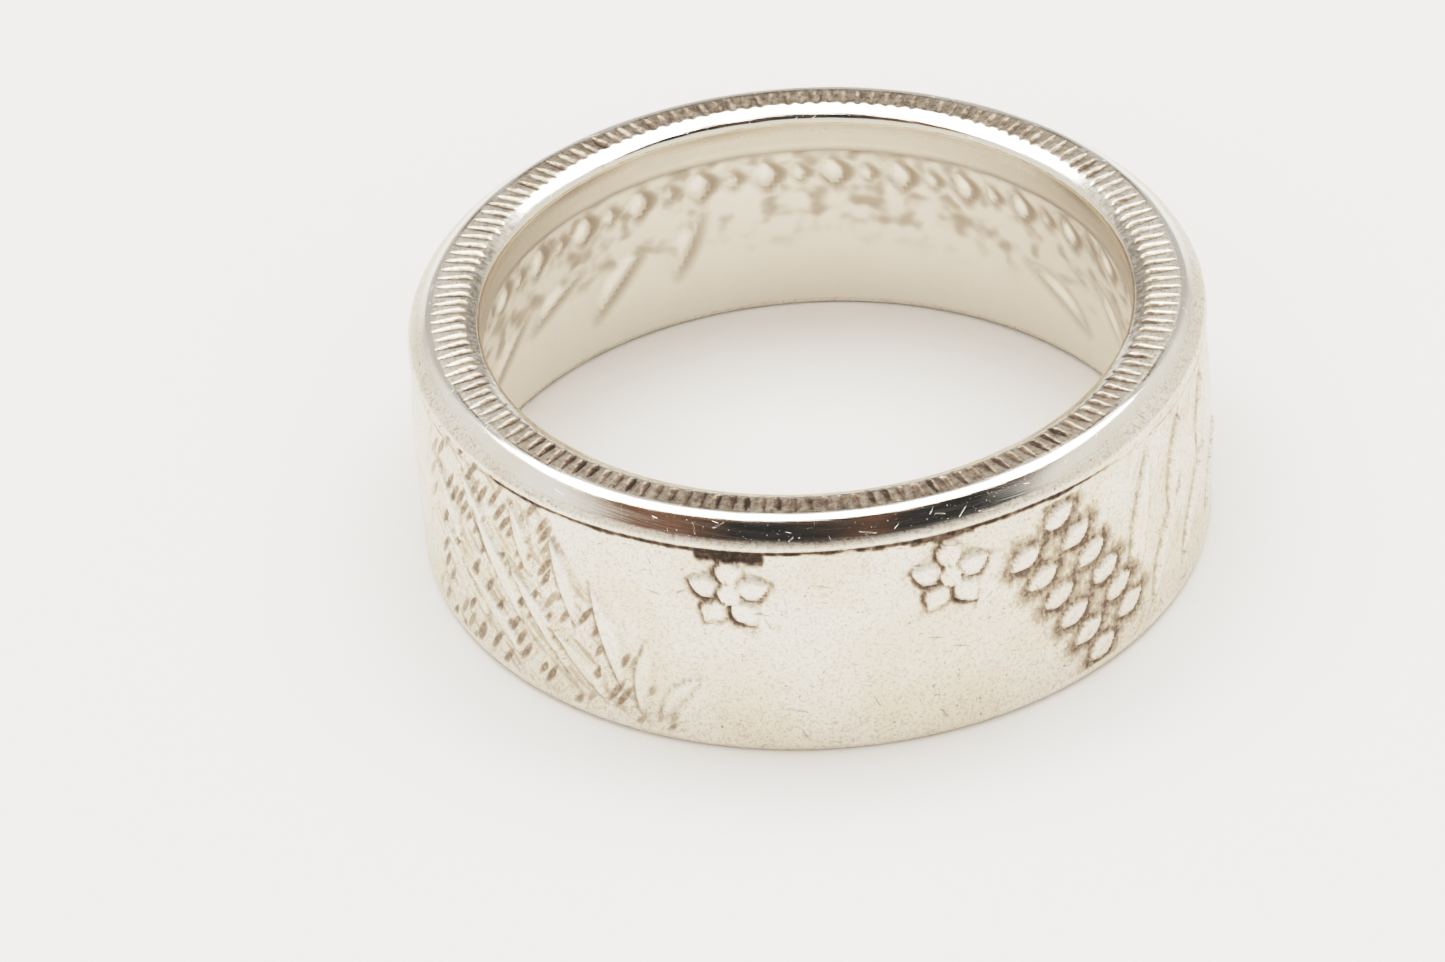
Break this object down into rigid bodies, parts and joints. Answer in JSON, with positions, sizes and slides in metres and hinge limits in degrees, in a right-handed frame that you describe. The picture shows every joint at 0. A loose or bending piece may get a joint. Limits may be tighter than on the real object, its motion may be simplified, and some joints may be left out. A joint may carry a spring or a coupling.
{
  "type": "coin ring",
  "caption": "One-piece finger ring folded from a silver coin, with a reeded crown between a bevel and a roll and low relief on its outer and inner wall, lying on its edge.",
  "frame": {"origin": "centre of the foot, on the surface that the ring rests on", "axes": "+Z along the finger hole, from the plain foot to the reeded crown; -Y faces the picture's camera"},
  "size_m": [0.0249, 0.0249, 0.0083],
  "materials": {
    "silver": "worn silver with polished rolls and dark patina in the recesses"
  },
  "bodies": {
    "root": {"ring_band": "silver"}
  },
  "joints": []
}
